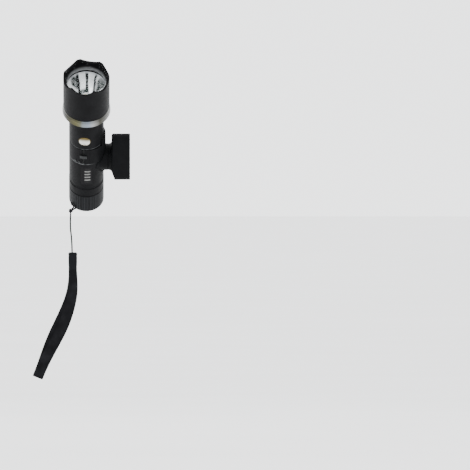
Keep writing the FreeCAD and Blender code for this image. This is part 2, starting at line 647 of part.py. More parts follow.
def switch_body():
    """Tactile switch; its recess takes the plunger's end."""
    low, high = BUTTON_STATION - SWITCH_HALF, BUTTON_STATION + SWITCH_HALF
    body = box(-SWITCH_HALF, SWITCH_HALF, -SWITCH_FRONT, -SWITCH_BACK, low, high)
    return at_button(body.cut(side_cylinder(PLUNGER_R + FIT, RECESS_FLOOR, SWITCH_FRONT)))


def switch_plunger():
    return at_button(side_cylinder(PLUNGER_R, PLUNGER_LOW, STEM_END))


def switch_board():
    low, high = BUTTON_STATION - SWITCH_BOARD_HALF_Z, BUTTON_STATION + SWITCH_BOARD_HALF_Z
    return at_button(box(-SWITCH_BOARD_HALF_X, SWITCH_BOARD_HALF_X, -SWITCH_BACK, -SWITCH_BOARD_BACK,
                         low, high))


# ---- cell and tail ----
def battery_cell():
    return lean_forward(rounded_disc(CELL_R, CELL_LOW, CELL_TOP, CELL_EDGE))


def cell_button():
    top = CELL_TOP + CELL_BUTTON_THICK
    return lean_forward(turned([(0, CELL_TOP), (CELL_BUTTON_R, CELL_TOP), (CELL_BUTTON_TOP_R, top),
                                (0, top)]))


def lanyard_hole(angle):
    """Slanting hole from the cap's side wall to its end face."""
    outer = vec(*around(angle, LOOP_OUT_R), LOOP_OUT_STATION)
    inner = vec(*around(angle, LOOP_IN_R), LOOP_IN_STATION)
    run = outer - inner
    return Part.makeCylinder(HOLE_R, run.Length + 4, inner - run * (2 / run.Length), run)


def tail_cap():
    seat = CAP_FLOOR + BOARD_SEAT
    outer = [(0, 0), (TAIL_R - 1.0, 0), (TAIL_R - 0.35, 0.2), (TAIL_R - 0.1, 0.8), (TAIL_R, 2.4),
             (TAIL_R, CAP_TOP - CHAMFER), (TAIL_R - CHAMFER, CAP_TOP), (CAP_BORE, CAP_TOP),
             (CAP_BORE, seat), (BOARD_R + FIT, seat), (BOARD_R + FIT, CAP_FLOOR), (0, CAP_FLOOR)]
    cap = turned(outer)
    for angle in HOLE_ANGLES:
        cap = cap.cut(lanyard_hole(angle))
    return lean_forward(cap)


def tail_board():
    return lean_forward(disc(BOARD_R, CAP_FLOOR + GAP, CAP_FLOOR + BOARD_THICK))


def tail_retainer():
    """Threaded ring that holds the tail board down, with two spanner notches."""
    low = CAP_FLOOR + BOARD_SEAT
    high = low + RETAINER_THICK
    ring = tube(RETAINER_IN, CAP_BORE - FIT, low, high)
    return lean_forward(ring.cut(box(-1, 1, -CAP_BORE, CAP_BORE, low + RETAINER_NOTCH, high)))


def tail_spring():
    """Coned coil that presses the cell forward."""
    return lean_forward(coil_spring(TAIL_SPRING, CAP_FLOOR + BOARD_THICK, CELL_LOW))


# ---- lanyard ----
def upright(point):
    """A part-frame point in the torch's own upright frame."""
    lean = FreeCAD.Rotation(vec(1, 0, 0), -LEAN)
    return lean.multVec(point - vec(LIGHT_X, 0, 0)) + vec(0, 0, PIVOT_STATION)


def lanyard_loop():
    """Cord through the two holes of the tail cap; both ends run to the knot."""
    points = []
    for angle in HOLE_ANGLES:
        side = [vec(*around(angle, LOOP_IN_R), LOOP_IN_STATION),
                vec(*around(angle, LOOP_OUT_R), LOOP_OUT_STATION)]
        towards = side[0] - upright(KNOT)
        towards.normalize()
        side.insert(0, upright(KNOT) + towards * (KNOT_R + KNOT_GAP))
        points += side if angle == HOLE_ANGLES[0] else side[::-1]
    return lean_forward(cord_tube("lanyard_loop", points, CORD_D))


def lanyard_knot():
    return Part.makeSphere(KNOT_R, KNOT)


def lanyard_cord():
    points = [vec(x, KNOT.y, z) for x, z in CORD_ROUTE]
    return cord_tube("lanyard_cord", points, CORD_D).cut(lanyard_knot()).cut(lanyard_sleeve())


def lanyard_sleeve():
    """Crimped sleeve where the cord is sewn into the strap."""
    sleeve = box(SLEEVE_X - SLEEVE_HALF_X, SLEEVE_X + SLEEVE_HALF_X, KNOT.y - SLEEVE_HALF_Y,
                 KNOT.y + SLEEVE_HALF_Y, SLEEVE_BOTTOM, SLEEVE_TOP)
    upright_edges = [edge for edge in sleeve.Edges if abs(edge.tangentAt(0).z) > 0.9]
    return sleeve.makeFillet(SLEEVE_CORNER, upright_edges)


def lanyard_strap():
    """Doubled webbing, as one flat band of the outer shape."""
    points = [vec(x, KNOT.y, z) for x, z in STRAP_ROUTE]
    flat = cord_tube("lanyard_strap", points, STRAP_WIDTH)
    slab = box(-100, 0, KNOT.y - STRAP_THICK / 2, KNOT.y + STRAP_THICK / 2, -200, 0)
    return flat.common(slab).cut(lanyard_sleeve())


NODES = [bracket_housing, bracket_plate, plate_screws, friction_washer, swivel_bolt, spring_washer,
         swivel_nut, clamp_cradle, clamp_band, clamp_liner, band_catch, band_rivets, battery_tube,
         label_plate, switch_housing, trim_ring, head_bezel, reflector, lens, lens_gasket,
         emitter_board, emitter, centring_ring, heat_sink, emitter_leads, driver_board,
         driver_spring, switch_ring, switch_boot, switch_button, switch_plunger, switch_body,
         switch_board, battery_cell, cell_button, tail_cap, tail_board, tail_retainer, tail_spring,
         lanyard_loop, lanyard_knot, lanyard_cord, lanyard_sleeve, lanyard_strap]


def main():
    os.makedirs("parts", exist_ok=True)
    for build in NODES:
        shape = build()
        print(build.__name__, "valid" if shape.isValid() else "INVALID", len(shape.Solids),
              round(shape.Volume, 1))
        shape.exportStep("parts/" + build.__name__ + ".step")


main()
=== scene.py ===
"""Helmet flashlight on its swivel bracket: materials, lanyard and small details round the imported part."""

import json
import math

import bmesh
import bpy
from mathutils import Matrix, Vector


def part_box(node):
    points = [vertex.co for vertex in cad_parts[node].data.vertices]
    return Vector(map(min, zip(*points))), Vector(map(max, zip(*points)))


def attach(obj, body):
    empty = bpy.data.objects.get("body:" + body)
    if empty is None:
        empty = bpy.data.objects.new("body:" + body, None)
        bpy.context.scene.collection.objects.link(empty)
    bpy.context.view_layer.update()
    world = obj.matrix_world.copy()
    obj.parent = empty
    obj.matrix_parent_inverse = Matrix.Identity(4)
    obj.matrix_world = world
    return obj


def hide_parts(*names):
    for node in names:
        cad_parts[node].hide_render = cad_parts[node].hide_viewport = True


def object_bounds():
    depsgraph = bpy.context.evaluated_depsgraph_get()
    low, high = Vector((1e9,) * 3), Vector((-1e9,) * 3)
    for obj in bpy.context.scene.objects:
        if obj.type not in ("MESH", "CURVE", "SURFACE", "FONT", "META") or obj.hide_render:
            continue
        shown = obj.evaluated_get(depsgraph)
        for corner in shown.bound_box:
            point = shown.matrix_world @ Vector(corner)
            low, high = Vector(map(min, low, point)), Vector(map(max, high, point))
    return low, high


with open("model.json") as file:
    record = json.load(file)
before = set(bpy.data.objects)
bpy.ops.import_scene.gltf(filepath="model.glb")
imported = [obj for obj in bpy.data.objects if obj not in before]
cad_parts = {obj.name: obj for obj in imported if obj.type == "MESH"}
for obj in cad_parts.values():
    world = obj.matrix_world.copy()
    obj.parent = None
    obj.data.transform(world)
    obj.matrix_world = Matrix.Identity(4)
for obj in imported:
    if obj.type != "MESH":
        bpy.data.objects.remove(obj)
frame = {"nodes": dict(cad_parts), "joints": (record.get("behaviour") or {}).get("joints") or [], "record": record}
cad_low, cad_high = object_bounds()

UP = Vector((0, 0, 1))
REAR = Vector((0, 1, 0))

# ---- the torch's own frame: stations run along the beam, in metres from the tail's end ----
joints = {joint["name"]: joint for joint in frame["joints"]}
BEAM = Vector(joints["torch_turn"]["axis"]).normalized()
SIDE = Vector((1, 0, 0))
BACK = BEAM.cross(SIDE)
PIVOT = Vector(joints["torch_turn"]["pos_m"])
PIVOT_STATION = 0.051     # where the swivel axis crosses the beam
SEAM_STATION = 0.0746     # lower edge of the switch housing
BAND_STATION = 0.0576     # lower edge of the clamp band
CAP_STATION = 0.0182      # where the tail cap meets the tube
LABEL_STATION = 0.0435    # middle of the label's bars
LIP_STATION = 0.1385      # top of the lens lip, where the crown's cone begins
MIRROR_FOCUS = 0.100      # station the mirror's painted reflection streaks point at
BUTTON_STATION = 0.0850   # middle of the side button


def torch_point(angle, radius, station):
    """Point by its angle from the front towards +X, its radius and its station."""
    return (PIVOT + SIDE * radius * math.sin(angle) - BACK * radius * math.cos(angle)
            + BEAM * (station - PIVOT_STATION))


def add_object(name, data):
    piece = bpy.data.objects.new(name, data)
    bpy.context.collection.objects.link(piece)
    return piece


# ---- camera, facing the wearer, straight in front of the swivel and level with it ----
VIEW_WIDTH = 0.3666       # width that the frame takes in at the torch
CAMERA_DISTANCE = 10.0
FAR_CLIP = 100.0
SENSOR = 36.0
AIM_RIGHT, AIM_DOWN = 0.1159, 0.0612      # what the camera aims at, counted from the swivel axis


def make_camera():
    data = bpy.data.cameras.new("camera")
    data.sensor_width = SENSOR
    data.lens = SENSOR * CAMERA_DISTANCE / VIEW_WIDTH
    data.clip_end = FAR_CLIP
    camera = add_object("camera", data)
    camera.location = PIVOT - REAR * CAMERA_DISTANCE
    ahead = Vector((AIM_RIGHT, CAMERA_DISTANCE, -AIM_DOWN))
    camera.rotation_euler = ahead.to_track_quat("-Z", "Y").to_euler()
    bpy.context.scene.camera = camera


make_camera()


# ---- small mesh tools ----
def add_mesh(name, vertices, faces):
    mesh = bpy.data.meshes.new(name)
    mesh.from_pydata(vertices, [], faces)
    mesh.validate()
    for polygon in mesh.polygons:
        polygon.use_smooth = True
    return add_object(name, mesh)


def loft(rings, closed_ends=True):
    """Vertices and faces of a tube through rings that have the same number of points."""
    count = len(rings[0])
    vertices = [point for ring in rings for point in ring]
    faces = []
    for row in range(len(rings) - 1):
        for column in range(count):
            after = (column + 1) % count
            faces.append((row * count + column, row * count + after,
                          (row + 1) * count + after, (row + 1) * count + column))
    if closed_ends:
        faces.append(tuple(reversed(range(count))))
        last = (len(rings) - 1) * count
        faces.append(tuple(range(last, last + count)))
    return vertices, faces


SPLINE_STEPS = 12         # points that a spline makes from one control point to the next


def nurbs_curve(route):
    """Curve object without thickness, with one NURBS spline through to both ends of a route."""
    curve = bpy.data.curves.new("route", "CURVE")
    curve.dimensions = "3D"
    curve.resolution_u = SPLINE_STEPS
    spline = curve.splines.new("NURBS")
    spline.points.add(len(route) - 1)
    for control, point in zip(spline.points, route):
        control.co = (*point, 1)
    spline.order_u = 3
    spline.use_endpoint_u = True
    return add_object("route", curve)


def points_along(route):
    """Points of the smooth line that a route's NURBS spline makes."""
    curve = nurbs_curve(route)
    mesh = bpy.data.meshes.new_from_object(curve)
    points = [vertex.co.copy() for vertex in mesh.vertices]
    bpy.data.objects.remove(curve)
    bpy.data.meshes.remove(mesh)
    return points


def spaced(points, step):
    """The same line with points a fixed step apart."""
    lengths = [0.0]
    for before, after in zip(points, points[1:]):
        lengths.append(lengths[-1] + (after - before).length)
    count = max(2, round(lengths[-1] / step))
    result, row = [], 0
    for index in range(count + 1):
        along = lengths[-1] * index / count
        while row < len(points) - 2 and lengths[row + 1] < along:
            row += 1
        share = (along - lengths[row]) / max(lengths[row + 1] - lengths[row], 1e-12)
        result.append(points[row].lerp(points[row + 1], min(share, 1)))
    return result


# ---- lanyard: loop, knot, cord, sleeve and doubled webbing ----
knot_low, knot_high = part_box("lanyard_knot")
KNOT = (knot_low + knot_high) / 2
KNOT_R = (knot_high.x - knot_low.x) / 2
KNOT_GAP = 0.00015        # between the knot and the loop's two ends
CORD_DIAMETER = 0.0013
CORD_STEP = 0.00012       # distance between a cord's rings
AROUND_CORD = 20          # points in each ring
STRAND_PAIRS = 4          # strands wound each way
BRAID_REPEAT = 0.0021     # length after which the strands' pattern repeats
STRAND_DEPTH = 0.10       # depth between strands, as a share of the radius
LOOP_HOLES = (math.radians(-58), math.radians(-39))          # angles of the cap's two holes
LOOP_IN, LOOP_OUT = (0.0096, -0.0012), (0.0149, 0.0037)      # radius and station
CORD_ROUTE = [(-0.0463, -0.0439), (-0.0469, -0.0540), (-0.0454, -0.0646), (-0.0452, -0.0749)]
STRAP_ROUTE = [(-0.0447, -0.0889), (-0.0442, -0.1005), (-0.0468, -0.1140), (-0.0524, -0.1290),
               (-0.0598, -0.1440), (-0.0662, -0.1580), (-0.0716, -0.1715)]


def in_knot_plane(route):
    return [Vector((x, KNOT.y, z)) for x, z in route]


def braided(name, line, radius, closed=False):
    """Round cord swept along a line, with two sets of strands wound against each other."""
    rings, along = [], 0.0
    sideways = REAR.copy()
    for index, point in enumerate(line):
        before, after = line[index - 1 if index or closed else 0], line[(index + 1) % len(line)]
        if index == len(line) - 1 and not closed:
            after = point
        tangent = (after - before).normalized()
        sideways = (sideways - tangent * sideways.dot(tangent)).normalized()
        other = tangent.cross(sideways)
        if index:
            along += (point - line[index - 1]).length
        ring = []
        for step in range(AROUND_CORD):
            angle = 2 * math.pi * step / AROUND_CORD
            twist = 2 * math.pi * along / BRAID_REPEAT
            strands = max(math.cos(STRAND_PAIRS * angle + twist), math.cos(STRAND_PAIRS * angle - twist))
            reach = radius * (1 - STRAND_DEPTH + STRAND_DEPTH * strands)
            ring.append(point + (sideways * math.cos(angle) + other * math.sin(angle)) * reach)
        rings.append(ring)
    if closed:
        rings.append(rings[0])
    return add_mesh(name, *loft(rings, closed_ends=not closed))


def make_cord():
    line = spaced(points_along(in_knot_plane(CORD_ROUTE)), CORD_STEP)
    piece = braided("cord", line, CORD_DIAMETER / 2)
    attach(piece, "lanyard")
    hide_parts("lanyard_cord")
    return piece, line


def make_loop():
    """Cord from the knot through the tail cap's two holes and back."""
    route = []
    for hole in LOOP_HOLES:
        inside, outside = torch_point(hole, *LOOP_IN), torch_point(hole, *LOOP_OUT)
        start = KNOT + (inside - KNOT).normalized() * (KNOT_R + KNOT_GAP)
        route += [start, inside, outside] if hole == LOOP_HOLES[0] else [outside, inside, start]
    piece = braided("loop", spaced(points_along(route), CORD_STEP), CORD_DIAMETER / 2)
    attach(piece, "tail")
    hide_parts("lanyard_loop")
    return piece


KNOT_SIZE, KNOT_DEPTH, KNOT_STEPS = 0.00037, 0.0007, 160
KNOT_CORD_R = CORD_DIAMETER * 0.48        # pulled a little thinner than the cord


def make_knot():
    """Tight overhand knot: the cord wound as a trefoil."""
    line = []
    for step in range(KNOT_STEPS):
        angle = 2 * math.pi * step / KNOT_STEPS
        swing = KNOT_SIZE * (2 + math.cos(3 * angle))
        line.append(KNOT + Vector((swing * math.cos(2 * angle), KNOT_DEPTH * math.sin(3 * angle),
                                   swing * math.sin(2 * angle))))
    piece = braided("knot", line, KNOT_CORD_R, closed=True)
    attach(piece, "lanyard")
    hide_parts("lanyard_knot")
    return piece


SLEEVE_SWELL = 1.08       # the seamed edges stand out past the crimp
SLEEVE_ROWS, SLEEVE_COUNT = 56, 48        # rings and the points in each
SLEEVE_SQUARE = 0.42      # power that makes the section a rounded oblong
SHOULDER, SHOULDER_DROP = 0.0011, 0.28    # height of each rounded end and how far it draws in
RIBS, RIB_HALF, RIB_DEPTH = (0.2, 0.8), 0.0005, 0.05         # places as shares of the height
SLEEVE_TAPER = 0.06       # narrowing from the cord's end to the webbing's
SLEEVE_SHARP = math.radians(60)


def make_sleeve():
    """Crimped sleeve with rounded shoulders and two pressed ribs."""
    low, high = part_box("lanyard_sleeve")
    middle = (low + high) / 2
    half_x, half_y = (high.x - low.x) / 2 * SLEEVE_SWELL, (high.y - low.y) / 2
    height = high.z - low.z
    rings = []
    for row in range(SLEEVE_ROWS + 1):
        share = row / SLEEVE_ROWS
        edge = min(share, 1 - share) * height
        shoulder = 1 - SHOULDER_DROP * max(0, 1 - edge / SHOULDER) ** 2
        rib = sum(math.exp(-((share - place) * height / RIB_HALF) ** 2) for place in RIBS)
        swell = shoulder * (1 - RIB_DEPTH * rib) * (1 - SLEEVE_TAPER + SLEEVE_TAPER * share)
        ring = []
        for step in range(SLEEVE_COUNT):
            angle = 2 * math.pi * step / SLEEVE_COUNT
            c, s = math.cos(angle), math.sin(angle)
            x = half_x * math.copysign(abs(c) ** SLEEVE_SQUARE, c) * swell
            y = half_y * math.copysign(abs(s) ** SLEEVE_SQUARE, s) * swell
            ring.append(Vector((middle.x + x, middle.y + y, low.z + share * height)))
        rings.append(ring)
    sleeve = add_mesh("sleeve", *loft(rings))
    sleeve.data.set_sharp_from_angle(angle=SLEEVE_SHARP)
    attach(sleeve, "lanyard")
    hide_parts("lanyard_sleeve")
    return sleeve


WEBBING_WIDTH, WEBBING_THICK = 0.0084, 0.0010
WEBBING_STEP = 0.0004     # distance between the webbing's rings
WEBBING_COLUMNS = 36      # columns of points across each face
YARN, PICK, WEAVE_HEIGHT = 0.00084, 0.00150, 0.00009         # width, length and height of a yarn's rise
EDGE_ROUND = 7            # power that rounds the webbing's two edges
HIDDEN = 0.0015           # length of webbing inside the sleeve
FAN = 0.0019              # how far each leg stands to the side of the middle
OPEN = 0.0017             # how far the legs part front to rear
LEG_START, LEG_SPREAD = 0.00085, 0.0004   # half the distance between the legs, and its growth
LEG_LEAN = math.radians(9)                # each leg's turn about its length, to opposite sides
OPEN_POWER = 0.8          # below 1: the legs are widest apart before the middle
FAN_POWER, FAN_NARROW = 1.15, 2.2         # above 1: the fan is widest past the middle, over a short run
FOLD_STEPS = 12
WEAVE_MIDDLE, YARN_ROUND = 0.45, 0.6      # mean height of the weave, and power that rounds a yarn
SQUEEZE, SQUEEZE_REACH = 0.22, 0.014      # narrowing where the sleeve grips the webbing


def webbing_path():
    """Middle line of the webbing, down one leg and up the other, and its sideways axis at each point."""
    middle = spaced(points_along(in_knot_plane(STRAP_ROUTE)), WEBBING_STEP)
    middle.insert(0, middle[0] + UP * HIDDEN)
    sideways = []
    for index in range(len(middle)):
        along = middle[min(index + 1, len(middle) - 1)] - middle[max(index - 1, 0)]
        sideways.append(along.cross(REAR).normalized())
    line, across = [], []

    def leg_point(index, sign):
        share = index / (len(middle) - 1)
        swell = math.sin(math.pi * share ** OPEN_POWER)
        fan = sign * FAN * math.sin(math.pi * share ** FAN_POWER) ** FAN_NARROW
        depth = sign * (LEG_START + OPEN * swell + LEG_SPREAD * share)
        lean = LEG_LEAN * swell * sign
        line.append(middle[index] + sideways[index] * fan - REAR * depth)
        across.append((sideways[index] * math.cos(lean) + REAR * math.sin(lean)).normalized())

    for index in range(len(middle)):
        leg_point(index, 1)
    last = len(middle) - 1
    onward = (middle[-1] - middle[-2]).normalized()
    radius = (line[-1] - middle[-1]).length
    for step in range(1, FOLD_STEPS):
        angle = math.pi * step / FOLD_STEPS
        line.append(middle[-1] + onward * radius * math.sin(angle) - REAR * radius * math.cos(angle))
        across.append(sideways[-1])
    for index in range(last, -1, -1):
        leg_point(index, -1)
    return line, across


def make_strap():
    """Woven webbing loop: each yarn column rises and dips along the strap."""
    line, across = webbing_path()
    total = sum((after - before).length for before, after in zip(line, line[1:]))
    rings, along = [], 0.0
    for index, point in enumerate(line):
        before, after = line[max(index - 1, 0)], line[min(index + 1, len(line) - 1)]
        tangent = (after - before).normalized()
        wide = (across[index] - tangent * across[index].dot(tangent)).normalized()
        flat = tangent.cross(wide)
        if index:
            along += (point - line[index - 1]).length
        from_sleeve = min(along, total - along)
        half = WEBBING_WIDTH / 2 * (1 - SQUEEZE * math.exp(-(from_sleeve / SQUEEZE_REACH) ** 2))
        ring = []
        for face in (1, -1):
            for column in range(WEBBING_COLUMNS + 1):
                place = (column / WEBBING_COLUMNS * 2 - 1) * face
                edge = math.sqrt(max(0.0, 1 - abs(place) ** EDGE_ROUND))
                yarn = (place + 1) / 2 * WEBBING_WIDTH / YARN
                phase = math.floor(yarn) % 2 * math.pi + (0 if face > 0 else math.pi)
                bulge = math.sin(math.pi * (yarn % 1)) ** YARN_ROUND
                wave = math.cos(2 * math.pi * along / PICK + phase)
                weave = bulge * (WEAVE_MIDDLE + (1 - WEAVE_MIDDLE) * wave)
                height = (WEBBING_THICK / 2 * edge + WEAVE_HEIGHT * weave * edge) * face
                ring.append(point + wide * place * half + flat * height)
        rings.append(ring)
    strap = add_mesh("strap", *loft(rings))
    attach(strap, "lanyard")
    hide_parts("lanyard_strap")
    return strap, line


cord, cord_line = make_cord()
loop = make_loop()
knot = make_knot()
sleeve = make_sleeve()
strap, strap_line = make_strap()


# ---- materials ----
class Nodes:
    """Short way to build a material's node tree round one Principled shader."""

    def __init__(self, name):
        self.material = bpy.data.materials.new(name)
        self.material.use_nodes = True
        self.tree = self.material.node_tree
        self.shader = self.tree.nodes["Principled BSDF"]
        self.position = self.add("ShaderNodeTexCoord").outputs["Object"]

    def add(self, kind, **settings):
        node = self.tree.nodes.new(kind)
        for key, value in settings.items():
            if hasattr(node, key):
                setattr(node, key, value)
            else:
                node.inputs[key].default_value = value
        return node

    def link(self, source, target):
        """Link a socket, or set a plain value."""
        if isinstance(source, bpy.types.NodeSocket):
            self.tree.links.new(source, target)
        else:
            target.default_value = source

    def math(self, operation, *values):
        node = self.add("ShaderNodeMath", operation=operation)
        for value, socket in zip(values, node.inputs):
            self.link(value, socket)
        return node.outputs["Value"]

    def along(self, axis, zero=0.0):
        """Distance from the swivel axis along a direction, plus a number."""
        node = self.add("ShaderNodeVectorMath", operation="DOT_PRODUCT")
        self.link(self.position, node.inputs[0])
        node.inputs[1].default_value = axis
        return self.math("ADD", node.outputs["Value"], zero - PIVOT.dot(axis))

    def station(self):
        return self.along(BEAM, PIVOT_STATION)

    def turn(self):
        """Angle round the beam as a share of a turn: 0.5 at the front, 0.75 at the +X side."""
        angle = self.math("ARCTAN2", self.along(SIDE), self.along(-BACK))
        return self.math("MULTIPLY_ADD", angle, 0.5 / math.pi, 0.5)

    def radius(self):
        across, back = self.along(SIDE), self.along(BACK)
        square = self.math("MULTIPLY_ADD", across, across, self.math("MULTIPLY", back, back))
        return self.math("SQRT", square)

    def noise(self, size, detail=3.0, roughness=0.5, source=None):
        """Noise whose features are about size metres across; gives a value from 0 to 1."""
        node = self.add("ShaderNodeTexNoise", Scale=1 / size, Detail=detail, Roughness=roughness)
        self.link(source or self.position, node.inputs["Vector"])
        return node.outputs["Fac"]

    def line_noise(self, value, size, detail=2.0):
        """Noise along one value, for turned rings and lengthwise streaks."""
        node = self.add("ShaderNodeTexNoise", noise_dimensions="1D", Scale=1.0, Detail=detail)
        self.link(self.math("DIVIDE", value, size), node.inputs["W"])
        return node.outputs["Fac"]

    def stretched(self, scales):
        """Coordinates stretched along the axes, for fibres."""
        node = self.add("ShaderNodeMapping")
        node.inputs["Scale"].default_value = scales
        self.link(self.position, node.inputs["Vector"])
        return node.outputs["Vector"]

    def spread(self, value, low, high, start=0.3, end=0.7):
        """Smooth step from low to high while the value goes from start to end."""
        node = self.add("ShaderNodeMapRange", interpolation_type="SMOOTHSTEP")
        for key, number in zip(("From Min", "From Max", "To Min", "To Max"), (start, end, low, high)):
            node.inputs[key].default_value = number
        self.link(value, node.inputs["Value"])
        return node.outputs["Result"]

    def band(self, value, middle, half_width):
        """1 near the middle, fading to 0 at the half width."""
        off = self.math("ABSOLUTE", self.math("SUBTRACT", value, middle))
        return self.spread(off, 1.0, 0.0, half_width * 0.6, half_width)

    def shades(self, value, *stops):
        """Colour ramp through (position, colour) stops."""
        node = self.add("ShaderNodeValToRGB")
        elements = node.color_ramp.elements
        elements.remove(elements[-1])
        elements[0].position, elements[0].color = stops[0][0], (*stops[0][1], 1)
        for place, colour in stops[1:]:
            elements.new(place).color = (*colour, 1)
        self.link(value, node.inputs["Fac"])
        return node.outputs["Color"]

    def mix(self, share, low, high):
        """Colour between two, by a share from 0 to 1."""
        node = self.add("ShaderNodeMix", data_type="RGBA")
        sockets = [socket for socket in node.inputs if socket.type == "RGBA"]
        self.link(share, node.inputs["Factor"])
        for socket, colour in zip(sockets, (low, high)):
            self.link((*colour, 1) if isinstance(colour, tuple) else colour, socket)
        return next(socket for socket in node.outputs if socket.type == "RGBA")

    def bump(self, height, distance, normal=None):
        node = self.add("ShaderNodeBump", Strength=1.0, Distance=distance)
        self.link(height, node.inputs["Height"])
        if normal is not None:
            self.link(normal, node.inputs["Normal"])
        return node.outputs["Normal"]

    def soft_edges(self, radius=0.00012):
        return self.add("ShaderNodeBevel", samples=6, Radius=radius).outputs["Normal"]

    def finish(self, **sockets):
        """Link or set the shader's inputs; a number stays on the shader's own socket."""
        for key, value in sockets.items():
            self.link(value, self.shader.inputs[key.replace("_", " ")])
        return self.material


LOW_IOR = 1.1             # weak surface reflection, which keeps dark pieces dark
EDGE_FADE = 0.0004        # length over which a sharp border in a material fades


def tinted(colour, factor):
    return tuple(min(1.0, channel * factor) for channel in colour)


def mottled(nodes, colour, amount, size):
    """Soft patches, a little darker and lighter than a colour."""
    return nodes.shades(nodes.noise(size, 4), (0.3, tinted(colour, 1 - amount)),
                        (0.7, tinted(colour, 1 + amount)))


def plain(name, colour, rough, mottle=0.15, patch=0.006, grain=0.00025, depth=0.00001,
          rough_spread=0.08, **sockets):
    """Moulded, coated or bare surface: soft colour patches, fine grain and rounded edges."""
    nodes = Nodes(name)
    fine = nodes.noise(grain, 3, 0.6)
    return nodes.finish(Base_Color=mottled(nodes, colour, mottle, patch),
                        Roughness=nodes.spread(fine, rough - rough_spread, rough + rough_spread),
                        Normal=nodes.bump(fine, depth, nodes.soft_edges()), **sockets)


def turned_metal(name, colour, rough, pitch=0.00018, depth=0.000004, mottle=0.08, **sockets):
    """Lathe-turned metal: fine rings round the beam axis."""
    nodes = Nodes(name)
    rings = nodes.line_noise(nodes.station(), pitch)
    return nodes.finish(Base_Color=mottled(nodes, colour, mottle, 0.007),
                        Roughness=nodes.spread(rings, rough - 0.06, rough + 0.06),
                        Normal=nodes.bump(rings, depth, nodes.soft_edges()), **sockets)


BLACK_METAL = (0.0040, 0.0041, 0.0045)
# painted sheen: the lighter streaks on the tail cap
CAP_PAINTED_SHEEN = (0.020, 0.021, 0.023)
# lighter lines at the seams: partly rubbed wear, partly painted edge highlight
RUBBED_AND_HIGHLIGHT = (0.085, 0.087, 0.09)
RUBBED_AND_HIGHLIGHT_EDGES = ((SEAM_STATION + 0.0004, 0.0007), (BAND_STATION - 0.0003, 0.0006),
                (CAP_STATION + 0.0003, 0.0003))              # station and half width
# painted sheen: a grey, partly metallic look on the cone inside the crown, brightest by the lens
CONE_PAINTED_SHEEN = (0.20, 0.205, 0.21)
CONE_FADE = (LIP_STATION - 0.0005, LIP_STATION + 0.0036)     # stations between which the painted sheen fades
BORE_LOW = LIP_STATION - 0.0052           # lowest station of the painted sheen in the bore
CONE_R = 0.0167                           # the head's inside lies within this radius


def black_anodised(name):
    """Satin black torch metal: lighter lines at the seams, partly rubbed wear and partly painted edge highlight;
    painted sheen on the cone round the lens; faint painted sheen streaks on the cap.
    """
    nodes = Nodes(name)
    station = nodes.station()
    rings = nodes.line_noise(station, 0.00022)
    scuffs = nodes.noise(0.0025, 5, 0.65)
    colour = mottled(nodes, BLACK_METAL, 0.25, 0.008)

    # painted sheen: faint lighter streaks round the tail cap, set by the angle round the beam
    painted_streaks = nodes.spread(nodes.line_noise(nodes.turn(), 0.006), 0, 1, 0.42, 0.72)
    on_cap = nodes.spread(station, 1, 0, CAP_STATION - 0.0012, CAP_STATION - 0.0006)
    colour = nodes.mix(nodes.math("MULTIPLY", painted_streaks, on_cap), colour, CAP_PAINTED_SHEEN)

    # lighter seam lines: partly rubbed wear, partly painted edge highlight
    for edge, half_width in RUBBED_AND_HIGHLIGHT_EDGES:
        rubbed_and_highlight = nodes.math("MULTIPLY", nodes.band(station, edge, half_width),
                            nodes.spread(scuffs, 0.15, 1, 0.35, 0.6))
        colour = nodes.mix(rubbed_and_highlight, colour, RUBBED_AND_HIGHLIGHT)

    # painted sheen on the crown's inner cone, fading away from the lens
    inside = nodes.math("MULTIPLY", nodes.spread(nodes.radius(), 1, 0, CONE_R, CONE_R + EDGE_FADE),
                        nodes.spread(station, 0, 1, BORE_LOW, BORE_LOW + EDGE_FADE))
    painted_cone_sheen = nodes.math("MULTIPLY", inside, nodes.spread(station, 1, 0, *CONE_FADE))
    colour = nodes.mix(painted_cone_sheen, colour, CONE_PAINTED_SHEEN)
    rough = nodes.math("ADD", nodes.spread(rings, 0.36, 0.46), nodes.spread(scuffs, -0.04, 0.06))
    return nodes.finish(Base_Color=colour, Roughness=rough, Metallic=nodes.math("MULTIPLY", painted_cone_sheen, 0.6),
                        IOR=LOW_IOR, Normal=nodes.bump(rings, 0.000004, nodes.soft_edges()))


# the ring's tint with painted reflections round it: share of a turn, 0.5 at the front, and the tint there
TRIM_TINTS_AND_REFLECTIONS = ((0.0, (0.10, 0.09, 0.06)), (0.20, (0.10, 0.095, 0.08)), (0.27, (0.09, 0.09, 0.085)),
              (0.32, (0.032, 0.032, 0.028)), (0.375, (0.045, 0.042, 0.025)), (0.431, (0.085, 0.08, 0.04)),
              (0.458, (0.11, 0.11, 0.075)), (0.475, (0.16, 0.18, 0.19)), (0.514, (0.18, 0.21, 0.25)),
              (0.542, (0.26, 0.27, 0.28)), (0.56, (0.20, 0.20, 0.19)), (0.597, (0.045, 0.043, 0.035)),
              (0.64, (0.07, 0.07, 0.065)), (0.70, (0.14, 0.135, 0.13)), (1.0, (0.10, 0.09, 0.06)))
TRIM_SHADE = (0.02, 0.02, 0.018)          # towards the ring's upper edge
TRIM_MIDDLE, TRIM_HIGH = 0.1105, 0.1130   # stations where the shade begins and is deepest
SWITCH_GOLD = (0.055, 0.040, 0.015)
SWITCH_END = 0.095                        # the switch's ring is below this station


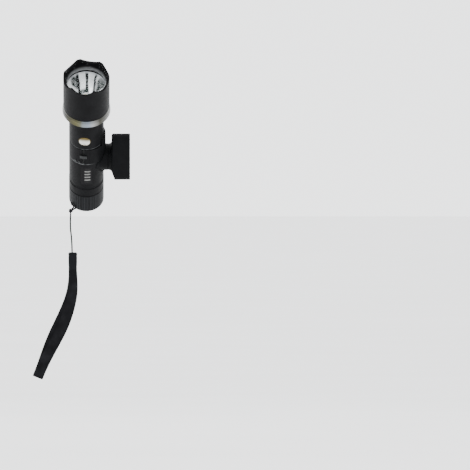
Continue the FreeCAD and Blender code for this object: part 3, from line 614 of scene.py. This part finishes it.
def trim_metal(name):
    """Polished ring with a champagne to silver tint and painted reflections, brighter and bluer at the front and
    darker at the sides, with painted shade towards its upper edge; the ring round the switch is dark gold.
    """
    nodes = Nodes(name)
    station = nodes.station()
    # painted reflection: the tint changes with the angle round the beam
    tint = nodes.shades(nodes.turn(), *TRIM_TINTS_AND_REFLECTIONS)
    tint = nodes.mix(nodes.spread(station, 0, 0.4, TRIM_MIDDLE, TRIM_HIGH), tint, TRIM_SHADE)
    tint = nodes.mix(nodes.spread(station, 1, 0, SWITCH_END, SWITCH_END + 0.001), tint, SWITCH_GOLD)
    rings = nodes.line_noise(station, 0.00012)
    return nodes.finish(Base_Color=tint, Metallic=1.0, Roughness=nodes.spread(rings, 0.16, 0.3),
                        Normal=nodes.bump(rings, 0.000003, nodes.soft_edges()))


BUTTON_SILVER, BUTTON_GOLD = (0.62, 0.61, 0.56), (0.10, 0.075, 0.025)


def button_metal(name):
    """Domed button: bright silver, tarnished gold towards the head."""
    nodes = Nodes(name)
    worn = nodes.math("ADD", nodes.station(), nodes.math("MULTIPLY", nodes.noise(0.002, 3), 0.001))
    tint = nodes.mix(nodes.spread(worn, 0, 1, BUTTON_STATION - 0.0004, BUTTON_STATION + 0.0040),
                     BUTTON_SILVER, BUTTON_GOLD)
    fine = nodes.noise(0.00015, 3, 0.6)
    return nodes.finish(Base_Color=tint, Metallic=0.9, Roughness=nodes.spread(fine, 0.2, 0.34),
                        Normal=nodes.bump(fine, 0.000006, nodes.soft_edges()))


# painted reflections on the mirror: colours of its dark and bright streaks
MIRROR_PAINTED_DARK, MIRROR_PAINTED_LIGHT = (0.02, 0.021, 0.021), (0.98, 0.98, 0.97)
# colours of the painted dark patches and of the painted reflection on the flange
MIRROR_PAINTED_PATCH, MIRROR_PAINTED_RIM = (0.03, 0.04, 0.036), (0.55, 0.55, 0.56)
# the painted dark reflection streaks: where each begins to darken, is dark, ends and is light again
MIRROR_PAINTED_STREAKS = ((0.24, 0.262, 0.305, 0.33), (0.465, 0.485, 0.54, 0.565), (0.69, 0.71, 0.735, 0.77))
# the painted dark patches at the sides: lean and its half width, then the distance to the back and its half width
MIRROR_PAINTED_PATCHES = ((-0.305, 0.085, 0.0085, 0.0042), (0.365, 0.10, 0.0062, 0.0048))
HOLE_SHADE_R, HOLE_FADE_R = 0.0060, 0.0074      # the wall round the emitter's hole is darker within these
HOLE_MIDDLE, HOLE_HALF = -0.0018, 0.0048
RIM_FROM_R, RIM_TO_R = 0.0143, 0.0153           # painted reflection: the flange outside these is greyer


def mirror(name):
    """Parabolic mirror with painted reflections: soft bright and dark streaks run down its wall to the emitter,
    painted dark patches lie at the sides, the wall round the emitter's hole has painted shade, and the flange is a
    greyer painted reflection.
    """
    nodes = Nodes(name)
    station, across, back = nodes.station(), nodes.along(SIDE), nodes.along(BACK)
    wander = nodes.math("MULTIPLY_ADD", nodes.noise(0.004, 2), 0.05, -0.025)
    lean = nodes.math("DIVIDE", across, nodes.math("SUBTRACT", station, MIRROR_FOCUS))
    place = nodes.math("ADD", nodes.math("ADD", lean, wander), 0.5)
    # painted reflections: bright streaks with dark ones between, fanning towards the focus
    stops = [(0.0, MIRROR_PAINTED_LIGHT)]
    for places in MIRROR_PAINTED_STREAKS:
        stops += zip(places, (MIRROR_PAINTED_LIGHT, MIRROR_PAINTED_DARK, MIRROR_PAINTED_DARK, MIRROR_PAINTED_LIGHT))
    painted_streaks = nodes.shades(place, *stops, (1.0, MIRROR_PAINTED_LIGHT))
    # painted dark reflection patches at the two sides
    left, right = (nodes.math("MULTIPLY", nodes.band(lean, middle, half), nodes.band(back, depth, reach))
                   for middle, half, depth, reach in MIRROR_PAINTED_PATCHES)
    # painted shade on the wall round the emitter's hole
    hole = nodes.math("MULTIPLY", nodes.spread(nodes.radius(), 1, 0, HOLE_SHADE_R, HOLE_FADE_R),
                      nodes.band(across, HOLE_MIDDLE, HOLE_HALF))
    # painted dark patches and painted shade, mottled
    patch = nodes.math("ADD", nodes.math("ADD", left, right), hole)
    patch = nodes.math("MULTIPLY", patch, nodes.spread(nodes.noise(0.003, 3), 0.7, 1, 0.4, 0.6))
    colour = nodes.mix(patch, painted_streaks, MIRROR_PAINTED_PATCH)
    # painted reflection: the flange is greyer
    rim = nodes.spread(nodes.radius(), 0, 0.8, RIM_FROM_R, RIM_TO_R)
    colour = nodes.mix(rim, colour, MIRROR_PAINTED_RIM)
    haze = nodes.noise(0.004, 4, 0.6)
    return nodes.finish(Base_Color=colour, Metallic=0.45, IOR=LOW_IOR,
                        Roughness=nodes.spread(haze, 0.15, 0.25))


def glass(name):
    """Clear lens with faint smudges."""
    nodes = Nodes(name)
    smudges = nodes.noise(0.009, 5, 0.6)
    return nodes.finish(Base_Color=(0.97, 0.99, 1.0, 1), Transmission_Weight=1.0, IOR=1.12,
                        Roughness=nodes.spread(smudges, 0.0, 0.04, 0.45, 0.8))


FILM_DARK, FILM_LIGHT, PRINT = (0.0035, 0.0035, 0.004), (0.007, 0.007, 0.0075), (0.16, 0.16, 0.155)
BAR_HALF_PITCH, BAR_HALF = 0.0017, 0.0006
BAR_PHASE = 0.1003        # puts a gap, not a bar, at the label's middle
BARS_MIDDLE, BARS_HALF_WIDTH, BARS_HALF_HEIGHT = 0.0008, 0.0028, 0.0086


def label(name):
    """Dark film with four plain printed bars."""
    nodes = Nodes(name)
    film = nodes.noise(0.0006, 4, 0.6)
    colour = nodes.mix(nodes.spread(film, 0, 1), FILM_DARK, FILM_LIGHT)
    station = nodes.math("SUBTRACT", nodes.station(), LABEL_STATION)
    bar = nodes.math("PINGPONG", nodes.math("ADD", station, BAR_PHASE), BAR_HALF_PITCH)
    bars = nodes.math("MULTIPLY", nodes.spread(bar, 1, 0, BAR_HALF, BAR_HALF + EDGE_FADE),
                      nodes.math("MULTIPLY", nodes.band(nodes.along(SIDE), BARS_MIDDLE, BARS_HALF_WIDTH),
                                 nodes.band(station, 0.0, BARS_HALF_HEIGHT)))
    printed = nodes.math("MULTIPLY", bars, nodes.spread(film, 0.45, 1, 0.35, 0.6))
    return nodes.finish(Base_Color=nodes.mix(printed, colour, PRINT), IOR=1.12,
                        Roughness=nodes.spread(film, 0.38, 0.55),
                        Normal=nodes.bump(film, 0.000008, nodes.soft_edges()))


def woven(name, colour):
    """Nylon webbing: the weave is in the mesh, fibres and sheen are here."""
    nodes = Nodes(name)
    fibres = nodes.noise(0.00012, 3, 0.7, nodes.stretched((1, 1, 0.25)))
    mixed = nodes.math("ADD", fibres, nodes.noise(0.008, 3))
    colours = nodes.shades(nodes.spread(mixed, 0, 1, 0.7, 1.3), (0.0, tinted(colour, 0.6)),
                           (0.6, colour), (1.0, tinted(colour, 1.7)))
    return nodes.finish(Base_Color=colours, Roughness=nodes.spread(fibres, 0.62, 0.85),
                        Normal=nodes.bump(fibres, 0.00004), IOR=LOW_IOR, Sheen_Weight=0.02,
                        Sheen_Roughness=0.4)


def braid(name, colour):
    """Thin braided cord: the strands are in the mesh, the yarn's fibres are here."""
    nodes = Nodes(name)
    fibres = nodes.noise(0.00008, 3, 0.7)
    colours = nodes.shades(fibres, (0.3, tinted(colour, 0.6)), (0.7, tinted(colour, 1.5)))
    return nodes.finish(Base_Color=colours, Roughness=nodes.spread(fibres, 0.6, 0.8), IOR=1.15,
                        Normal=nodes.bump(fibres, 0.00003), Sheen_Weight=0.02)


MATERIALS = {
    "black_plastic": plain("black_plastic", (0.0040, 0.0042, 0.0046), 0.5, depth=0.00002, IOR=LOW_IOR),
    "band_plastic": plain("band_plastic", (0.0038, 0.0038, 0.0043), 0.45, IOR=LOW_IOR),
    "white_plastic": plain("white_plastic", (0.80, 0.80, 0.77), 0.45, mottle=0.05),
    "switch_plastic": plain("switch_plastic", (0.004, 0.004, 0.0045), 0.5, IOR=LOW_IOR),
    "rubber": plain("rubber", (0.010, 0.010, 0.010), 0.7, depth=0.00003, IOR=1.3),
    "steel": plain("steel", (0.62, 0.62, 0.60), 0.3, mottle=0.08, grain=0.0001, Metallic=1.0),
    "dark_steel": plain("dark_steel", (0.022, 0.023, 0.024), 0.4, mottle=0.2, Metallic=0.9),
    "black_anodised": black_anodised("black_anodised"),
    "champagne_metal": trim_metal("champagne_metal"),
    "plain_aluminium": turned_metal("plain_aluminium", (0.78, 0.79, 0.80), 0.32, Metallic=1.0),
    "button_metal": button_metal("button_metal"),
    "mirror": mirror("mirror"),
    "lens_glass": glass("lens_glass"),
    "white_board": plain("white_board", (0.85, 0.85, 0.82), 0.4, mottle=0.05),
    "emitter_yellow": plain("emitter_yellow", (0.40, 0.34, 0.12), 0.2, mottle=0.1, Coat_Weight=0.5),
    "lead_wire": plain("lead_wire", (0.5, 0.03, 0.03), 0.45),
    "green_board": plain("green_board", (0.03, 0.17, 0.07), 0.35, mottle=0.2, patch=0.002),
    "gold_contact": plain("gold_contact", (0.83, 0.62, 0.27), 0.25, mottle=0.06, Metallic=1.0),
    "cell_wrap": plain("cell_wrap", (0.05, 0.12, 0.33), 0.3, mottle=0.1),
    "label": label("label"),
    "lanyard_cord": braid("lanyard_cord", (0.008, 0.008, 0.009)),
    "webbing": woven("webbing", (0.0052, 0.0052, 0.0060)),
    "sleeve_plastic": plain("sleeve_plastic", (0.0050, 0.0053, 0.0066), 0.5, depth=0.00002, IOR=1.12),
}


def dress_nodes():
    for row in frame["record"]["subparts"]:
        node = frame["nodes"][row["node"]]
        node.data.materials.clear()
        node.data.materials.append(MATERIALS[row["material_slot"]])


dress_nodes()
for piece, slot in ((cord, "lanyard_cord"), (loop, "lanyard_cord"), (knot, "lanyard_cord"),
                    (sleeve, "sleeve_plastic"), (strap, "webbing")):
    piece.data.materials.append(MATERIALS[slot])


# ---- floor, light and surroundings ----
FLOOR_DROP = 0.06         # from the lowest point of the part to the floor
FLOOR_RADIUS = 40.0
FLOOR_GREY = (0.86, 0.86, 0.86)
SKY, SKY_STRENGTH = (0.93, 0.94, 0.95), 3.0
LIGHTS = (                # name, place, size, and power in watts
    ("key_light", (-0.9, -1.3, 1.0), (0.8, 1.2), 9),
    ("fill_light", (1.3, -1.1, 0.4), (0.6, 1.4), 4),
    ("rim_light", (0.2, 1.4, 1.1), (1.4, 0.6), 5),
)


def make_floor():
    mesh = bpy.data.meshes.new("floor")
    shape = bmesh.new()
    bmesh.ops.create_circle(shape, cap_ends=True, segments=96, radius=FLOOR_RADIUS)
    shape.to_mesh(mesh)
    shape.free()
    floor = add_object("floor", mesh)
    floor.location.z = cad_low.z - FLOOR_DROP
    mesh.materials.append(plain("floor", FLOOR_GREY, 0.85, mottle=0.015, patch=0.3,
                                Specular_IOR_Level=0.1))


def area_light(name, place, size, power):
    light = bpy.data.lights.new(name, "AREA")
    light.shape = "RECTANGLE"
    light.size, light.size_y = size
    light.energy = power
    lamp = add_object(name, light)
    lamp.location = place
    aim = (cad_low + cad_high) / 2 - lamp.location
    lamp.rotation_euler = aim.to_track_quat("-Z", "Y").to_euler()
    lamp.visible_camera = False


def make_light():
    world = bpy.data.worlds.new("world")
    world.use_nodes = True
    background = world.node_tree.nodes["Background"]
    background.inputs["Color"].default_value = (*SKY, 1)
    background.inputs["Strength"].default_value = SKY_STRENGTH
    bpy.context.scene.world = world
    for light in LIGHTS:
        area_light(*light)


make_floor()
make_light()
